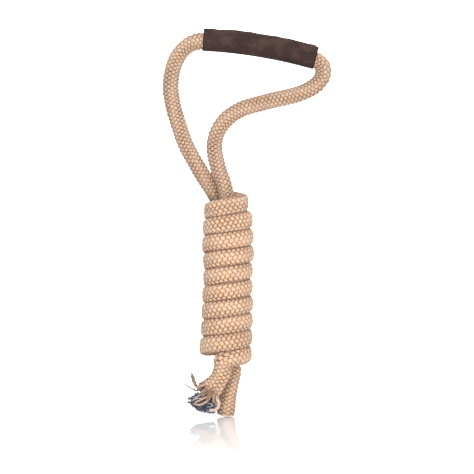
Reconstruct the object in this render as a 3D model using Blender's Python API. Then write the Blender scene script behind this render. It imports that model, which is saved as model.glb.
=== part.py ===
"""Training leash handle: one braided rope, folded into a hand loop with a leather grip, wound round itself.

Metres, +Z up, +Y away from the viewer. The origin is the middle of the leather grip, where a hand holds it.
"""

import math

import bmesh
import bpy
import numpy as np
from mathutils import Vector

MM = 0.001
CLEARANCE = 0.3 * MM
END_GAP = 0.15 * MM

# Rope: a braided cover over a fibre core
LEG_RADIUS = 8.8 * MM
STRAND_RADIUS = 8.1 * MM
TAIL_RADIUS = 8.7 * MM
CUT_END_RADIUS = 10.0 * MM
FRAYED_END_RADIUS = 12.0 * MM
COVER_WALL = 2.4 * MM
STEP = 7.0 * MM
ROPE_SIDES = 16
CORE_SIDES = 8
ROUTE_SAMPLE = 0.5 * MM

# Winding of the rope round its own straight strand
COIL_X = -35.5 * MM
COIL_TOP_Z = -173.8 * MM
COIL_MID_RADIUS = 18.3 * MM
COIL_OUTER_RADIUS = 27.2 * MM
COIL_GROOVE_RADIUS = 24.2 * MM
COIL_BORE_RADIUS = 8.8 * MM
COIL_BORE_FLARE = 6.5 * MM
COIL_FLARE_START_DEG = -2970
COIL_FLARE_END_DEG = -3600
COIL_PITCH = 18.4 * MM
COIL_START_DEG = 90
COIL_END_DEG = -3285
COIL_FACE_GAP = 1.6 * MM
COIL_STEP_DEG = 15
COIL_BULGE_ROWS = 6
COIL_SQUARENESS = 2.6

# How far the turns stand out at their right and left sides, as (turns from the top, millimetres)
COIL_SWELL = (
    (0.25, -4.0),
    (0.75, -2.1),
    (1.25, 1.0),
    (1.75, -0.8),
    (2.25, 2.0),
    (2.75, 0.0),
    (3.25, 2.4),
    (3.75, -1.1),
    (4.25, 1.0),
    (4.75, -1.1),
    (5.25, 1.0),
    (5.75, 0.0),
    (6.25, 1.4),
    (6.75, 0.7),
    (7.25, 1.0),
    (7.75, 1.4),
    (8.25, 0.7),
    (8.75, 2.4),
    (9.25, 0.0),
)

# Grip centreline: height = RISE + SLOPE * x + BEND * x * x
GRIP_HALF = 62.2 * MM
GRIP_RISE = -2.8 * MM
GRIP_SLOPE = -0.165
GRIP_BEND = -0.95
GRIP_ROPE_RADIUS = 8.6 * MM

# Leather sleeve: a strip folded round the rope, its two edges sewn together on the outer side of the loop
LEATHER = 1.4 * MM
SLEEVE_BORE_RADIUS = 9.1 * MM
SEAM_GAP = 0.4 * MM
SEAM_START = 12.6 * MM
SEAM_BEND = 0.6 * MM
SLEEVE_TOP = 15.7 * MM
SLEEVE_LENGTH = 2 * GRIP_HALF - 1.0 * MM
SLEEVE_ARC_STEPS = 18
SLEEVE_STATIONS = 12

# Lockstitch: one thread on each face of the seam
THREAD_RADIUS = 0.38 * MM
STITCH = 4.2 * MM
STITCH_LINE = 13.8 * MM
STITCH_LIFT = 0.45 * MM
STITCHED_SHARE = 0.94
STEPS_PER_STITCH = 4
THREAD_SIDES = 5

# Heights where one stretch of rope hands over to the next
NECK_TOP_Z = -140 * MM
NECK_END_RIGHT_Z = -170 * MM
NECK_END_LEFT_Z = -160.5 * MM
CUT_BEND_TOP_Z = -352 * MM
CUT_BEND_END_Z = -364 * MM
FRAYED_TAIL = 26 * MM
FRAYED_CORE_OUT = 3 * MM
LEFT_LEG_REACH = 250 * MM
NECK_REACH = 35 * MM

# The route of the whole rope, cut end first, in millimetres
CUT_TAIL_ROUTE = (
    (-37.4, 12.0, -408.2),
    (-34.4, 9.6, -388.3),
    (-31.0, 8.2, -371.5),
    (-28.6, 7.9, -358.5),
    (-30.1, 6.5, -351.0),
    (-34.0, 3.2, -344.0),
    (-35.4, 0.8, -335.5),
)
STRAND_ROUTE = ((-35.5, 0.0, -320.0), (-35.5, 0.0, -270.0), (-35.5, 0.0, -220.0), (-35.5, 0.0, -185.0))
RIGHT_LEG_ROUTE = (
    (-35.6, -0.3, -170.0),
    (-38.8, -2.0, -152.9),
    (-43.8, -1.4, -139.7),
    (-47.1, -0.4, -127.6),
    (-49.2, 0.0, -115.5),
    (-48.5, 0.0, -104.5),
    (-44.9, 0.0, -93.5),
    (-37.7, 0.0, -83.6),
    (-28.9, 0.0, -75.9),
    (-17.9, 0.0, -69.9),
    (-3.6, 0.0, -65.6),
    (12.1, 0.0, -61.4),
    (27.2, 0.0, -58.1),
    (43.0, 0.0, -54.0),
    (55.6, 0.0, -48.6),
    (65.2, 0.0, -41.2),
    (70.1, 0.0, -32.2),
    (69.1, 0.0, -22.4),
)
LEFT_LEG_ROUTE = (
    (-74.6, 0.0, 1.4),
    (-84.8, 0.0, -6.0),
    (-91.5, 0.0, -16.8),
    (-96.1, 0.0, -30.8),
    (-97.5, 0.0, -45.1),
    (-96.1, 0.0, -59.4),
    (-93.6, 0.0, -71.5),
    (-90.2, 0.0, -82.5),
    (-81.7, 0.0, -107.8),
    (-70.2, 0.8, -129.8),
    (-58.9, 4.0, -148.5),
    (-51.4, 9.2, -160.2),
)
FRAYED_TAIL_ROUTE = (
    (-33.4, -18.3, -344.2),
    (-37.9, -18.2, -347.7),
    (-40.5, -17.4, -353.4),
    (-43.2, -16.0, -360.6),
    (-47.8, -14.2, -369.4),
    (-52.6, -12.2, -376.6),
    (-57.4, -10.4, -382.6),
)

# Loose yarn ends at the frayed tail: name, radius and route in millimetres
YARNS = (
    (
        "yarn_upright",
        1.3,
        ((-65.6, -10.4, -376.4), (-69.6, -11.0, -373.3), (-72.6, -11.5, -367.0), (-74.2, -12.0, -359.3)),
    ),
    (
        "yarn_thin",
        0.6,
        ((-66.4, -9.0, -379.2), (-71.4, -9.4, -378.2), (-76.6, -10.0, -375.8), (-82.4, -10.6, -371.9)),
    ),
    (
        "yarn_loop",
        1.2,
        ((-55.2, -20.6, -385.2), (-59.0, -22.8, -387.4), (-65.0, -22.9, -390.5), (-70.4, -21.8, -392.4)),
    ),
    (
        "yarn_pale",
        1.6,
        ((-48.0, -16.0, -390.0), (-43.4, -17.6, -392.0), (-44.6, -20.4, -397.6), (-53.0, -21.6, -400.2)),
    ),
    (
        "yarn_back",
        1.0,
        ((-55.0, 0.4, -385.6), (-58.0, 2.8, -389.4), (-63.6, 3.8, -394.5)),
    ),
)

YARN_STATIONS = 11
YARN_SIDES = 8

# Dark fibres of the core, spread out as a tuft
TUFT_CENTRE = Vector((-61.0, -9.6, -393.7)) * MM
TUFT_HALF = Vector((15.6, 10.5, 9.0)) * MM
TUFT_TILT_DEG = 18
TUFT_LOBES = 9
TUFT_LOBE_DEPTH = 0.16
TUFT_RINGS = 9

COLOURS = {
    "leather": (0.075, 0.045, 0.040, 0.75),
    "thread": (0.16, 0.11, 0.10, 0.6),
    "braid": (0.72, 0.47, 0.28, 0.85),
    "core": (0.07, 0.08, 0.12, 0.9),
    "yarn": (0.80, 0.62, 0.44, 0.8),
}


def clear_scene():
    for old in list(bpy.data.objects):
        bpy.data.objects.remove(old, do_unlink=True)


def material(node, kind):
    """A material of this node's own, in the colour of its kind."""
    made = bpy.data.materials.new(node)
    made.use_nodes = True
    shader = made.node_tree.nodes["Principled BSDF"]
    red, green, blue, rough = COLOURS[kind]
    shader.inputs["Base Color"].default_value = (red, green, blue, 1.0)
    shader.inputs["Roughness"].default_value = rough
    return made


def mesh_object(name, kind, verts, faces):
    mesh = bpy.data.meshes.new(name)
    mesh.from_pydata([tuple(v) for v in verts], [], faces)
    shell = bmesh.new()
    shell.from_mesh(mesh)
    bmesh.ops.recalc_face_normals(shell, faces=shell.faces)
    for face in shell.faces:
        face.smooth = True
    shell.to_mesh(mesh)
    shell.free()
    mesh.materials.append(material(name, kind))
    made = bpy.data.objects.new(name, mesh)
    bpy.context.scene.collection.objects.link(made)
    return made


def grip_point(x):
    return Vector((x, 0.0, GRIP_RISE + GRIP_SLOPE * x + GRIP_BEND * x * x))


def coil_point(degrees, radius=COIL_MID_RADIUS, drop=0.0):
    """A point of the winding's helix. It goes down as the angle falls: back, right, front, left."""
    turn = math.radians(degrees)
    z = COIL_TOP_Z + COIL_PITCH * degrees / 360 + drop
    return Vector((COIL_X + radius * math.cos(turn), radius * math.sin(turn), z))


def smooth_route(points, sample=ROUTE_SAMPLE):
    """A centripetal Catmull-Rom curve through the points, as closely spaced points of nearly even length."""
    pts = [np.array(p, dtype=float) for p in points]
    pts = [2 * pts[0] - pts[1]] + pts + [2 * pts[-1] - pts[-2]]
    out = []
    for p0, p1, p2, p3 in zip(pts, pts[1:], pts[2:], pts[3:]):
        t1 = np.sqrt(np.linalg.norm(p1 - p0))
        t2 = t1 + np.sqrt(np.linalg.norm(p2 - p1))
        t3 = t2 + np.sqrt(np.linalg.norm(p3 - p2))
        count = max(2, int(np.linalg.norm(p2 - p1) / sample))
        for k in range(count):
            t = t1 + (t2 - t1) * k / count
            a1 = (t1 - t) / t1 * p0 + t / t1 * p1
            a2 = (t2 - t) / (t2 - t1) * p1 + (t - t1) / (t2 - t1) * p2
            a3 = (t3 - t) / (t3 - t2) * p2 + (t - t2) / (t3 - t2) * p3
            b1 = (t2 - t) / t2 * a1 + t / t2 * a2
            b2 = (t3 - t) / (t3 - t1) * a2 + (t - t1) / (t3 - t1) * a3
            out.append((t2 - t) / (t2 - t1) * b1 + (t - t1) / (t2 - t1) * b2)
    out.append(pts[-2])
    return np.array(out)


def millimetres(points):
    return [tuple(MM * c for c in point) for point in points]


def whole_route():
    """The centreline of the whole rope from the cut end to the frayed end."""
    grip = [tuple(grip_point(GRIP_HALF * k / 4)) for k in range(4, -5, -1)]
    turns = range(COIL_START_DEG + 30, COIL_END_DEG - 2 * COIL_STEP_DEG, -COIL_STEP_DEG)
    coil = [tuple(coil_point(a)) for a in turns]
    points = millimetres(CUT_TAIL_ROUTE + STRAND_ROUTE + RIGHT_LEG_ROUTE) + grip
    points += millimetres(LEFT_LEG_ROUTE) + coil + millimetres(FRAYED_TAIL_ROUTE)
    return smooth_route(points)


class Rope:
    """The whole centreline with its lengths and a frame that doesn't twist along it."""

    def __init__(self):
        self.points = whole_route()
        steps = np.linalg.norm(np.diff(self.points, axis=0), axis=1)
        self.lengths = np.concatenate([[0.0], np.cumsum(steps)])
        self.total = self.lengths[-1]

    def at(self, length):
        return Vector([np.interp(length, self.lengths, self.points[:, k]) for k in range(3)])

    def where(self, test_from, test_to, height):
        """The length between two others at which the rope passes this height."""
        inside = (self.lengths >= test_from) & (self.lengths <= test_to)
        z = np.where(inside, np.abs(self.points[:, 2] - height), np.inf)
        return float(self.lengths[int(np.argmin(z))])

    def nearest(self, point):
        gaps = np.linalg.norm(self.points - np.array(point), axis=1)
        return float(self.lengths[int(np.argmin(gaps))])

    def stations(self, start, end):
        """Evenly spaced points of a stretch, just short of its ends, with the rope's direction at each."""
        start, end = start + END_GAP, end - END_GAP
        count = max(3, int(math.ceil((end - start) / STEP)) + 1)
        out = []
        for k in range(count):
            here = start + (end - start) * k / (count - 1)
            ahead = self.at(here + ROUTE_SAMPLE) - self.at(here - ROUTE_SAMPLE)
            out.append((self.at(here), ahead.normalized()))
        return out


def with_directions(points):
    """Points paired with the direction of the line through their neighbours."""
    last = len(points) - 1
    ahead = [points[min(k + 1, last)] - points[max(k - 1, 0)] for k in range(last + 1)]
    return list(zip(points, [step.normalized() for step in ahead]))


def rings(stations, sides):
    """The centre and the unit spokes of each ring, carried along without twist."""
    side = stations[0][1].orthogonal().normalized()
    angles = [2 * math.pi * k / sides for k in range(sides)]
    out = []
    for centre, tangent in stations:
        side = (side - tangent * side.dot(tangent)).normalized()
        up = tangent.cross(side)
        out.append((centre, [math.cos(a) * side + math.sin(a) * up for a in angles]))
    return out


def tube(name, kind, stations, radius, sides, end_radius=None):
    """A solid round tube with flat ends. Its radius changes evenly to end_radius."""
    last = len(stations) - 1
    change = (end_radius or radius) - radius
    verts, faces = [], []
    for k, (centre, spokes) in enumerate(rings(stations, sides)):
        verts += [centre + (radius + change * k / last) * spoke for spoke in spokes]
    for k in range(last):
        for j in range(sides):
            a, b = k * sides + j, k * sides + (j + 1) % sides
            faces.append((a, b, b + sides, a + sides))
    faces.append(tuple(range(sides - 1, -1, -1)))
    faces.append(tuple(last * sides + j for j in range(sides)))
    return mesh_object(name, kind, verts, faces)


def hollow_tube(name, kind, stations, outer, wall, sides, end_outer):
    """A round tube with an open bore. Its outer radius changes evenly to end_outer."""
    last = len(stations) - 1
    verts, faces = [], []
    for k, (centre, spokes) in enumerate(rings(stations, sides)):
        radius = outer + (end_outer - outer) * k / last
        verts += [centre + radius * spoke for spoke in spokes]
        verts += [centre + (outer - wall) * spoke for spoke in spokes]
    row = 2 * sides
    for k in range(last):
        for j in range(sides):
            a, b = k * row + j, k * row + (j + 1) % sides
            faces.append((a, b, b + row, a + row))
            c, d = a + sides, b + sides
            faces.append((d, c, c + row, d + row))
    for j in range(sides):
        a, b = j, (j + 1) % sides
        faces.append((b, a, a + sides, b + sides))
        a, b = last * row + a, last * row + b
        faces.append((a, b, b + sides, a + sides))
    return mesh_object(name, kind, verts, faces)


def rope_stretch(name, stations, radius, end_radius=None, core_stations=None):
    """A stretch of braided cover with its fibre core inside."""
    hollow_tube(name + "_cover", "braid", stations, radius, COVER_WALL, ROPE_SIDES, end_radius or radius)
    bore = (radius - COVER_WALL) * math.cos(math.pi / ROPE_SIDES)
    tube(name + "_core", "core", core_stations or stations, bore - CLEARANCE, CORE_SIDES)


def bore_flare(degrees):
    """How much wider the winding's bore is where the straight strand leans out of it at the bottom."""
    down = (COIL_FLARE_START_DEG - degrees) / (COIL_FLARE_START_DEG - COIL_FLARE_END_DEG)
    return COIL_BORE_FLARE * min(max(down, 0.0), 1.0)


def swell(degrees):
    """How much further than usual the winding stands out at this angle of its helix."""
    turns = (COIL_START_DEG - degrees) / 360
    places = [place for place, _ in COIL_SWELL]
    return MM * float(np.interp(turns, places, [out for _, out in COIL_SWELL]))


def winding():
    """The rope wound round its own strand, as one solid of its outer shape: a helical bulge round a bore."""
    half = COIL_PITCH / 2
    profile = []
    for j in range(COIL_BULGE_ROWS + 1):
        across = 2 * j / COIL_BULGE_ROWS - 1
        bulge = math.sqrt(max(0.0, 1 - abs(across) ** COIL_SQUARENESS))
        radius = COIL_GROOVE_RADIUS + (COIL_OUTER_RADIUS - COIL_GROOVE_RADIUS) * bulge
        profile.append((radius, -across * half))
    profile += [(COIL_BORE_RADIUS, -half), (COIL_BORE_RADIUS, half)]
    last_outer, inner_low, inner_high = COIL_BULGE_ROWS, COIL_BULGE_ROWS + 1, COIL_BULGE_ROWS + 2
    degrees = list(range(COIL_START_DEG, COIL_END_DEG - 1, -COIL_STEP_DEG))
    per_turn = 360 // COIL_STEP_DEG
    verts, index = [], {}

    def vertex(k, j):
        """The lower edge of a turn is the upper edge of the next one."""
        if j in (last_outer, inner_low) and k + per_turn < len(degrees):
            k, j = k + per_turn, {last_outer: 0, inner_low: inner_high}[j]
        if (k, j) not in index:
            radius, drop = profile[j]
            if j in (inner_low, inner_high):
                radius += bore_flare(degrees[k] - (360 if j == inner_low else 0))
            else:
                radius += swell(degrees[k])
            index[(k, j)] = len(verts)
            verts.append(coil_point(degrees[k], radius, drop))
        return index[(k, j)]

    faces = []
    last = len(degrees) - 1
    for k in range(last):
        for j in range(last_outer):
            faces.append((vertex(k, j), vertex(k, j + 1), vertex(k + 1, j + 1), vertex(k + 1, j)))
        bore = (vertex(k, inner_low), vertex(k, inner_high))
        faces.append(bore + (vertex(k + 1, inner_high), vertex(k + 1, inner_low)))
        if k < per_turn:
            faces.append((vertex(k, inner_high), vertex(k, 0), vertex(k + 1, 0), vertex(k + 1, inner_high)))
        if k >= last - per_turn:
            low = (vertex(k, last_outer), vertex(k, inner_low))
            faces.append(low + (vertex(k + 1, inner_low), vertex(k + 1, last_outer)))
    faces.append(tuple(vertex(0, j) for j in range(inner_high, -1, -1)))
    faces.append(tuple(vertex(last, j) for j in range(inner_high + 1)))
    return mesh_object("winding", "braid", verts, faces)


def sleeve_outline():
    """The folded leather's section as (across, up) points: outer face, then inner face."""
    middle_radius = SLEEVE_BORE_RADIUS + LEATHER / 2
    half_gap = SEAM_GAP / 2 + LEATHER / 2
    leave = math.acos(middle_radius / SEAM_START)
    middle = [(half_gap, SLEEVE_TOP), (half_gap, SEAM_START + SEAM_BEND)]
    for k in range(SLEEVE_ARC_STEPS + 1):
        turn = leave + (2 * math.pi - 2 * leave) * k / SLEEVE_ARC_STEPS
        middle.append((middle_radius * math.sin(turn), middle_radius * math.cos(turn)))
    middle += [(-half_gap, SEAM_START + SEAM_BEND), (-half_gap, SLEEVE_TOP)]
    outer, inner = [], []
    for k, (across, up) in enumerate(middle):
        before, after = middle[max(k - 1, 0)], middle[min(k + 1, len(middle) - 1)]
        along = Vector((after[0] - before[0], after[1] - before[1])).normalized()
        outer.append((across - along.y * LEATHER / 2, up + along.x * LEATHER / 2))
        inner.append((across + along.y * LEATHER / 2, up - along.x * LEATHER / 2))
    return outer, inner


def grip_frames(length, steps):
    """Points along the grip with their directions along it and up from it."""
    out = []
    for k in range(steps + 1):
        x = length * (k / steps - 0.5)
        along = Vector((1.0, 0.0, GRIP_SLOPE + 2 * GRIP_BEND * x)).normalized()
        out.append((grip_point(x), along, Vector((-along.z, 0.0, along.x))))
    return out


def grip_sleeve():
    outer, inner = sleeve_outline()
    section = outer + inner[::-1]
    count, middle = len(section), len(outer)
    stations = grip_frames(SLEEVE_LENGTH, SLEEVE_STATIONS)
    verts, faces = [], []
    for centre, _, up in stations:
        verts += [centre + Vector((0, across, 0)) + up * height for across, height in section]
    last = len(stations) - 1
    for k in range(last):
        for j in range(count):
            a, b = k * count + j, k * count + (j + 1) % count
            faces.append((a, a + count, b + count, b))
    for j in range(middle - 1):
        a, b = j, j + 1
        c, d = count - 1 - j, count - 2 - j
        faces.append((a, b, d, c))
        shift = last * count
        faces.append((shift + b, shift + a, shift + c, shift + d))
    return mesh_object("grip_sleeve", "leather", verts, faces)


def seam_thread(name, face_side):
    """A thread on one face of the seam, dipping at each stitch hole."""
    stitches = int(STITCHED_SHARE * SLEEVE_LENGTH / STITCH)
    face = SEAM_GAP / 2 + LEATHER + CLEARANCE + THREAD_RADIUS
    points = []
    for k, (centre, _, up) in enumerate(grip_frames(stitches * STITCH, stitches * STEPS_PER_STITCH)):
        lift = STITCH_LIFT * abs(math.sin(math.pi * k / STEPS_PER_STITCH))
        points.append(centre + up * STITCH_LINE + Vector((0, face_side * (face + lift), 0)))
    return tube(name, "thread", with_directions(points), THREAD_RADIUS, THREAD_SIDES)


def tuft():
    """The core's dark fibres as one lobed brush."""
    sides = 2 * TUFT_LOBES
    tilt = math.radians(TUFT_TILT_DEG)
    points = []
    for k in range(TUFT_RINGS + 1):
        fall = math.pi * k / TUFT_RINGS
        for j in range(sides):
            turn = 2 * math.pi * j / sides
            lobe = 1 - TUFT_LOBE_DEPTH * (j % 2) * math.sin(fall)
            flat = Vector((math.cos(turn) * math.sin(fall), math.sin(turn) * math.sin(fall), math.cos(fall)))
            x, y, z = flat.x * TUFT_HALF.x * lobe, flat.y * TUFT_HALF.y * lobe, flat.z * TUFT_HALF.z
            level = x * math.cos(tilt) + z * math.sin(tilt)
            points.append((level, y, z * math.cos(tilt) - x * math.sin(tilt)))
    verts = [TUFT_CENTRE + Vector(points[0])]
    verts += [TUFT_CENTRE + Vector(p) for p in points[sides : TUFT_RINGS * sides]]
    verts.append(TUFT_CENTRE + Vector(points[-1]))
    bottom = len(verts) - 1
    faces = []
    for j in range(sides):
        after = (j + 1) % sides
        faces.append((0, 1 + j, 1 + after))
        for k in range(TUFT_RINGS - 2):
            a, b = 1 + k * sides + j, 1 + k * sides + after
            faces.append((a, a + sides, b + sides, b))
        low = 1 + (TUFT_RINGS - 2) * sides
        faces.append((low + j, bottom, low + after))
    return mesh_object("core_tuft", "core", verts, faces)


def build():
    clear_scene()
    rope = Rope()
    grip_right = rope.nearest(grip_point(GRIP_HALF))
    grip_left = rope.nearest(grip_point(-GRIP_HALF))
    strand_bottom = rope.where(0, grip_right, CUT_BEND_TOP_Z)
    cut_top = rope.where(0, grip_right, CUT_BEND_END_Z)
    strand_top = rope.where(strand_bottom, grip_right, NECK_END_RIGHT_Z)
    right_neck_top = rope.where(strand_bottom, grip_right, NECK_TOP_Z)
    left_neck_top = rope.where(grip_left, grip_left + LEFT_LEG_REACH, NECK_TOP_Z)
    left_neck_end = rope.where(left_neck_top, left_neck_top + NECK_REACH, NECK_END_LEFT_Z)
    coil_start = rope.nearest(coil_point(COIL_START_DEG)) - COIL_FACE_GAP
    coil_end = rope.nearest(coil_point(COIL_END_DEG)) + COIL_FACE_GAP
    frayed_top = rope.total - FRAYED_TAIL

    rope_stretch("cut_tail", rope.stations(0, cut_top)[::-1], TAIL_RADIUS, CUT_END_RADIUS)
    cut_bend = rope.stations(cut_top, strand_bottom)
    tube("cut_tail_bend", "braid", cut_bend, TAIL_RADIUS, ROPE_SIDES, STRAND_RADIUS)
    rope_stretch("centre_strand", rope.stations(strand_bottom, strand_top), STRAND_RADIUS)
    right_neck = rope.stations(strand_top, right_neck_top)
    tube("right_neck", "braid", right_neck, STRAND_RADIUS, ROPE_SIDES, LEG_RADIUS)
    rope_stretch("right_leg", rope.stations(right_neck_top, grip_right), LEG_RADIUS)
    rope_stretch("grip_rope", rope.stations(grip_right, grip_left), GRIP_ROPE_RADIUS)
    rope_stretch("left_leg", rope.stations(grip_left, left_neck_top), LEG_RADIUS)
    left_neck = rope.stations(left_neck_top, left_neck_end)
    tube("left_neck", "braid", left_neck, LEG_RADIUS, ROPE_SIDES, STRAND_RADIUS)
    rope_stretch("winding_lead", rope.stations(left_neck_end, coil_start), STRAND_RADIUS)
    winding()
    tube("frayed_tail_bend", "braid", rope.stations(coil_end, frayed_top), TAIL_RADIUS, ROPE_SIDES)
    frayed_cover = rope.stations(frayed_top, rope.total - FRAYED_CORE_OUT)
    frayed_core = rope.stations(frayed_top, rope.total)
    rope_stretch("frayed_tail", frayed_cover, TAIL_RADIUS, FRAYED_END_RADIUS, frayed_core)

    grip_sleeve()
    seam_thread("seam_thread_front", -1)
    seam_thread("seam_thread_back", 1)
    tuft()
    for name, radius, route in YARNS:
        points = [Vector(p) for p in smooth_route(millimetres(route))]
        spread = np.linspace(0, len(points) - 1, YARN_STATIONS).astype(int)
        tube(name, "yarn", with_directions([points[k] for k in spread]), radius * MM, YARN_SIDES)


build()
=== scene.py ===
"""Training leash: one thick braided rope with a leather hand grip, wound round itself above two short tails.

Metres, in the row frame: +Z up, +Y away from the viewer, the origin in the middle of the leather grip.
"""

import math

import bpy
import numpy as np
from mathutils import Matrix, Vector


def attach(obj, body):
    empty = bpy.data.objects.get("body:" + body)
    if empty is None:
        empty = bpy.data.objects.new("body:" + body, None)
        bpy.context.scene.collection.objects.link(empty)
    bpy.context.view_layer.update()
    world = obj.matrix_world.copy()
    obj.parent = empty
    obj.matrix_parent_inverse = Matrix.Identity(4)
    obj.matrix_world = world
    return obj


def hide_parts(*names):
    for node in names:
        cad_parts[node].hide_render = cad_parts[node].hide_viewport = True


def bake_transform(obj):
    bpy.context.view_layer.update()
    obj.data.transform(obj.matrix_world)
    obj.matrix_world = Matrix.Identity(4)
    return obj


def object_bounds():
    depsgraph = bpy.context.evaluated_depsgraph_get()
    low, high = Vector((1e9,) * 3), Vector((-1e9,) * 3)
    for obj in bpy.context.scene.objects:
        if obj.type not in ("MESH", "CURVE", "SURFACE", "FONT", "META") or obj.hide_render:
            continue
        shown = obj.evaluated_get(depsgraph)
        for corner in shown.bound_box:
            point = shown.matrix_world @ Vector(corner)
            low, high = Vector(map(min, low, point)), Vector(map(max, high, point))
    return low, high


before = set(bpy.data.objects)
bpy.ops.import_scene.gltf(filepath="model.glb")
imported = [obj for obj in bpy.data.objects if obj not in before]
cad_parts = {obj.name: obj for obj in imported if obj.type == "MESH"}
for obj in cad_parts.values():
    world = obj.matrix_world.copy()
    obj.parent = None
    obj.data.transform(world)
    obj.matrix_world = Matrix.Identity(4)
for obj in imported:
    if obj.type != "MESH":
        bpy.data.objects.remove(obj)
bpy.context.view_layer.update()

MM = 0.001
RNG = np.random.default_rng(20261118)

# ---------------------------------------------------------------- the rope's route in millimetres
CUT_TAIL_ROUTE = (
    (-37.4, 12.0, -408.2),
    (-34.4, 9.6, -388.3),
    (-31.0, 8.2, -371.5),
    (-28.6, 7.9, -358.5),
    (-30.1, 6.5, -351.0),
    (-34.0, 3.2, -344.0),
    (-35.4, 0.8, -335.5),
)
STRAND_ROUTE = ((-35.5, 0.0, -320.0), (-35.5, 0.0, -270.0), (-35.5, 0.0, -220.0), (-35.5, 0.0, -185.0))
RIGHT_LEG_ROUTE = (
    (-35.6, -0.3, -170.0),
    (-38.8, -2.0, -152.9),
    (-43.8, -1.4, -139.7),
    (-47.1, -0.4, -127.6),
    (-49.2, 0.0, -115.5),
    (-48.5, 0.0, -104.5),
    (-44.9, 0.0, -93.5),
    (-37.7, 0.0, -83.6),
    (-28.9, 0.0, -75.9),
    (-17.9, 0.0, -69.9),
    (-3.6, 0.0, -65.6),
    (12.1, 0.0, -61.4),
    (27.2, 0.0, -58.1),
    (43.0, 0.0, -54.0),
    (55.6, 0.0, -48.6),
    (65.2, 0.0, -41.2),
    (70.1, 0.0, -32.2),
    (69.1, 0.0, -22.4),
)
LEFT_LEG_ROUTE = (
    (-74.6, 0.0, 1.4),
    (-84.8, 0.0, -6.0),
    (-91.5, 0.0, -16.8),
    (-96.1, 0.0, -30.8),
    (-97.5, 0.0, -45.1),
    (-96.1, 0.0, -59.4),
    (-93.6, 0.0, -71.5),
    (-90.2, 0.0, -82.5),
    (-81.7, 0.0, -107.8),
    (-70.2, 0.8, -129.8),
    (-58.9, 4.0, -148.5),
    (-51.4, 9.2, -160.2),
)
FRAYED_TAIL_ROUTE = (
    (-33.4, -18.3, -344.2),
    (-37.9, -18.2, -347.7),
    (-40.5, -17.4, -353.4),
    (-43.2, -16.0, -360.6),
    (-47.8, -14.2, -369.4),
    (-52.6, -12.2, -376.6),
    (-57.4, -10.4, -382.6),
)
# How far the winding stands out past its usual radius, in millimetres, at each number of turns from its top
COIL_SWELL = (
    (0.25, -4.0),
    (0.75, -2.1),
    (1.25, 1.0),
    (1.75, -0.8),
    (2.25, 2.0),
    (2.75, 0.0),
    (3.25, 2.4),
    (3.75, -1.1),
    (4.25, 1.0),
    (4.75, -1.1),
    (5.25, 1.0),
    (5.75, 0.0),
    (6.25, 1.4),
    (6.75, 0.7),
    (7.25, 1.0),
    (7.75, 1.4),
    (8.25, 0.7),
    (8.75, 2.4),
    (9.25, 0.0),
)
COIL_X, COIL_TOP_Z, COIL_PITCH, COIL_MID_RADIUS = -35.5 * MM, -173.8 * MM, 18.4 * MM, 18.3 * MM
COIL_START_DEG, COIL_END_DEG, COIL_STEP_DEG, COIL_RUN_IN_DEG = 90, -3285, 15, 30
LEG_TO_COIL_DEG, COIL_TO_TAIL_DEG = 75, -3090
GRIP_HALF, GRIP_RISE, GRIP_SLOPE, GRIP_BEND = 62.2 * MM, -2.8 * MM, -0.165, -0.95
STRAND_LOW_Z, STRAND_HIGH_Z = -0.298, -0.182
INSIDE_SLEEVE = 9 * MM

# ---------------------------------------------------------------- the rope's size and braid
LEG_RADIUS, STRAND_RADIUS, GRIP_ROPE_RADIUS = 9.1 * MM, 8.3 * MM, 8.7 * MM
TAIL_RADIUS, CUT_END_RADIUS, FRAYED_END_RADIUS = 9.2 * MM, 10.4 * MM, 13.2 * MM
COIL_HALF_WIDTH, COIL_HALF_DEPTH = 9.9 * MM, 9.4 * MM
COIL_SQUARENESS, LEFT_SQUARENESS = 2.9, 0.5
# Painted shade in the grooves where the winding's turns press together: it begins this far along the
# winding's axis from the rope's middle and is full here
GROOVE_SHADE_START, GROOVE_SHADE_END = 7.4 * MM, 9.3 * MM
# Where the rope changes thickness, shape or colour: heights, or lengths along it from an end of a stretch
LEG_WIDENS_Z, LEG_DARKENS_Z = (-0.185, -0.140), (-0.20, -0.15)
COIL_BEGINS, COIL_ENDS = (-0.022, 0.008), (-0.004, 0.022)
CUT_TAIL_NARROWS, CUT_END_FLARES = (0.052, 0.070), (0.0, 0.030)
FRAYED_TAIL_WIDENS, FRAYED_END_FLARES = (-0.004, 0.010), (-0.024, -0.001)
COLUMNS = 14
LEG_STITCH, COIL_STITCH = 4.5 * MM, 3.95 * MM
RING_STEP = 0.6 * MM
MID_SHARE = 0.75

# Places where the rope is pushed out of round, in millimetres: a point near it, which way, how far and over
# what length
BULGES = (
    ((-38.0, -18.2, -346.5), (-0.94, 0.0, 0.34), 4.2, 6.0),
    ((-44.0, -16.0, -361.0), (0.90, 0.0, -0.44), 2.8, 13.0),
    ((-54.5, 0.0, -330.1), (-0.25, 0.0, -0.97), 2.0, 13.0),
    ((-66.0, 0.0, 4.0), (0.0, 0.0, 1.0), 1.2, 9.0),
)
AROUND = 98
HIDDEN_AROUND, HIDDEN_SKIP = 60, 2
RELIEF = 1.2 * MM
PEBBLE_WIDE, PEBBLE_LONG, PEBBLE_LEAN = 0.63, 0.48, 0.22

# ---------------------------------------------------------------- the two tails
CUT_END_ROUND, CUT_END_DRAWN_IN, CUT_RIM_HEIGHT = 4.5 * MM, 0.22, 1.5 * MM
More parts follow.
